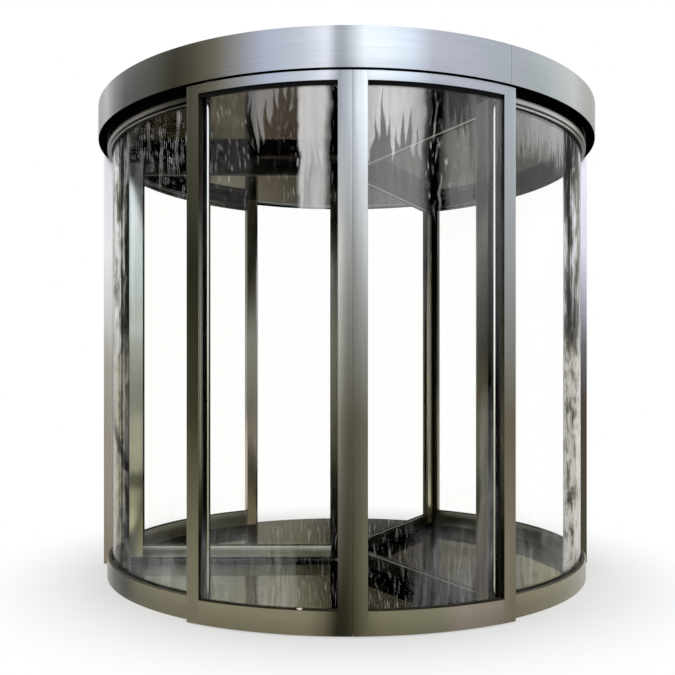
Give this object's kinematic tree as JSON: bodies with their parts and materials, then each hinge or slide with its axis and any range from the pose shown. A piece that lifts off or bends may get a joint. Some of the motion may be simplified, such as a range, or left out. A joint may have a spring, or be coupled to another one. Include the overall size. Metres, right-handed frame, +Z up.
{
  "type": "three-wing revolving door",
  "caption": "Revolving door with a curved glass drum, a brushed steel canopy ring, glazed wings on a centre shaft and a pair of curved sliding night-closing leaves.",
  "frame": {"origin": "on the drum's axis at floor level", "axes": "+Z up, -Y out of the front portal with the night-closing leaves, +X to the right seen from the front"},
  "size_m": [2.664, 2.652, 2.407],
  "materials": {
    "drum_steel": "satin brushed stainless steel",
    "fascia_steel": "satin stainless steel sheet, brushed round the ring",
    "leaf_frame": "satin brushed stainless steel",
    "wing_frame": "satin brushed stainless steel",
    "drum_glass": "clear bent laminated glass",
    "leaf_glass": "clear bent toughened glass",
    "wing_glass": "clear flat toughened glass",
    "brush_seals": "black nylon brush seal",
    "floor_finish": "polished dark stone",
    "ceiling_panel": "glossy dark panel",
    "soffit_black": "black powder coat",
    "canopy_steel": "grey primer on folded sheet",
    "bearing_steel": "machined steel"
  },
  "bodies": {
    "drum": {"ceiling": "ceiling_panel", "drum_glass_back_left": "drum_glass", "drum_glass_back_right": "drum_glass", "drum_glass_front_left": "drum_glass", "drum_glass_front_right": "drum_glass", "fascia_back_left": "fascia_steel", "fascia_front": "fascia_steel", "fascia_right": "fascia_steel", "floor_bearing": "bearing_steel", "floor_disc": "floor_finish", "header_back_left": "drum_steel", "header_back_right": "drum_steel", "header_front_left": "drum_steel", "header_front_right": "drum_steel", "leaf_track": "soffit_black", "portal_post_back_left": "drum_steel", "portal_post_back_right": "drum_steel", "portal_post_front_left": "drum_steel", "portal_post_front_right": "drum_steel", "ring_beam": "canopy_steel", "roof_cover": "canopy_steel", "side_post_left": "drum_steel", "side_post_right": "drum_steel", "sill_back_left": "drum_steel", "sill_back_right": "drum_steel", "sill_front_left": "drum_steel", "sill_front_right": "drum_steel", "soffit": "soffit_black", "threshold_back": "floor_finish", "threshold_front": "floor_finish", "top_bearing": "bearing_steel"},
    "rotor": {"center_shaft": "wing_frame", "wing_1_brushes": "brush_seals", "wing_1_glass": "wing_glass", "wing_1_rails": "wing_frame", "wing_1_stiles": "wing_frame", "wing_2_brushes": "brush_seals", "wing_2_glass": "wing_glass", "wing_2_rails": "wing_frame", "wing_2_stiles": "wing_frame", "wing_3_brushes": "brush_seals", "wing_3_glass": "wing_glass", "wing_3_rails": "wing_frame", "wing_3_stiles": "wing_frame"},
    "leaf_left": {"leaf_left_glass": "leaf_glass", "leaf_left_hangers": "bearing_steel", "leaf_left_rails": "leaf_frame", "leaf_left_stiles": "leaf_frame"},
    "leaf_right": {"leaf_right_glass": "leaf_glass", "leaf_right_hangers": "bearing_steel", "leaf_right_rails": "leaf_frame", "leaf_right_stiles": "leaf_frame"}
  },
  "joints": [
    {"name": "rotor_turn", "type": "hinge", "parent": "drum", "child": "rotor", "pos_m": [0, 0, 1.1], "axis": [0, 0, 1], "continuous": true},
    {"name": "leaf_left_slide", "type": "hinge", "parent": "drum", "child": "leaf_left", "pos_m": [0, 0, 1.1], "axis": [0, 0, -1], "range_deg": [0, 31]},
    {"name": "leaf_right_slide", "type": "hinge", "parent": "drum", "child": "leaf_right", "pos_m": [0, 0, 1.1], "axis": [0, 0, 1], "range_deg": [0, 31]}
  ]
}
